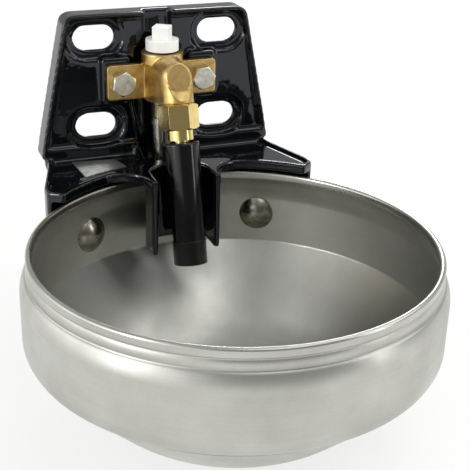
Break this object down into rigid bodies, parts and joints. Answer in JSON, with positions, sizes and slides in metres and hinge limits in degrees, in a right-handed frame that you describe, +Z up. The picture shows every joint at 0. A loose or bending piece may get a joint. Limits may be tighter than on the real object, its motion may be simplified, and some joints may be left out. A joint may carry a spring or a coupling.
{
  "type": "livestock drinking bowl",
  "caption": "Round stainless drinking bowl hung from a black enamelled wall casting, with a brass tube valve that the animal opens by pushing the tube.",
  "frame": {"origin": "centre of the four wall slots, on the wall plane", "axes": "+Y into the wall, -Y toward the animal, +Z up, +X to the right seen by the animal"},
  "size_m": [0.2712, 0.3116, 0.237],
  "materials": {
    "stainless_bowl": "satin, spun",
    "black_enamel": "gloss black enamel on cast iron",
    "zinc_steel": "zinc plated",
    "cast_brass": "cast and tumbled",
    "polished_brass": "turned and polished",
    "white_plastic": "moulded",
    "natural_plastic": "turned acetal",
    "black_rubber": "moulded",
    "nickel_plate": "nickel plated",
    "stainless_mesh": "drilled stainless",
    "spring_steel": "drawn wire",
    "black_plastic": "semi-gloss moulded"
  },
  "bodies": {
    "base": {"bowl": "stainless_bowl", "bracket": "black_enamel", "bowl_bolts": "zinc_steel", "bowl_washers": "zinc_steel", "bowl_nuts": "zinc_steel", "flange_bolts": "zinc_steel", "flange_nuts": "zinc_steel", "valve_body": "cast_brass", "inlet_plug": "white_plastic", "plug_gasket": "black_rubber", "supply_tail": "nickel_plate", "strainer": "stainless_mesh", "union_nut": "polished_brass", "seat_ring": "natural_plastic", "return_spring": "spring_steel"},
    "liner": {"ball_liner": "natural_plastic"},
    "tube": {"spindle": "polished_brass", "valve_tube": "black_plastic", "tube_sleeve": "black_rubber"},
    "plunger": {"plunger": "polished_brass", "plunger_pad": "black_rubber"}
  },
  "joints": [
    {"name": "tube_side_swing", "type": "hinge", "parent": "base", "child": "liner", "pos_m": [0, -0.06529, -0.01719], "axis": [0, 0.9646, -0.2639], "range_deg": [-4.5, 4.5], "stiffness_Nm_per_rad": 3},
    {"name": "tube_push", "type": "hinge", "parent": "liner", "child": "tube", "pos_m": [0, -0.06529, -0.01719], "axis": [1, 0, 0], "range_deg": [0, 5], "stiffness_Nm_per_rad": 3, "springref_deg": -5.73},
    {"name": "plunger_lift", "type": "slide", "parent": "base", "child": "plunger", "axis": [0, 0.2639, 0.9646], "range_m": [0, 0.0004], "deforming": ["return_spring"]}
  ],
  "couplings": [
    {"joint": "plunger_lift", "follows": "tube_push", "m_per_rad": 0.0036}
  ]
}
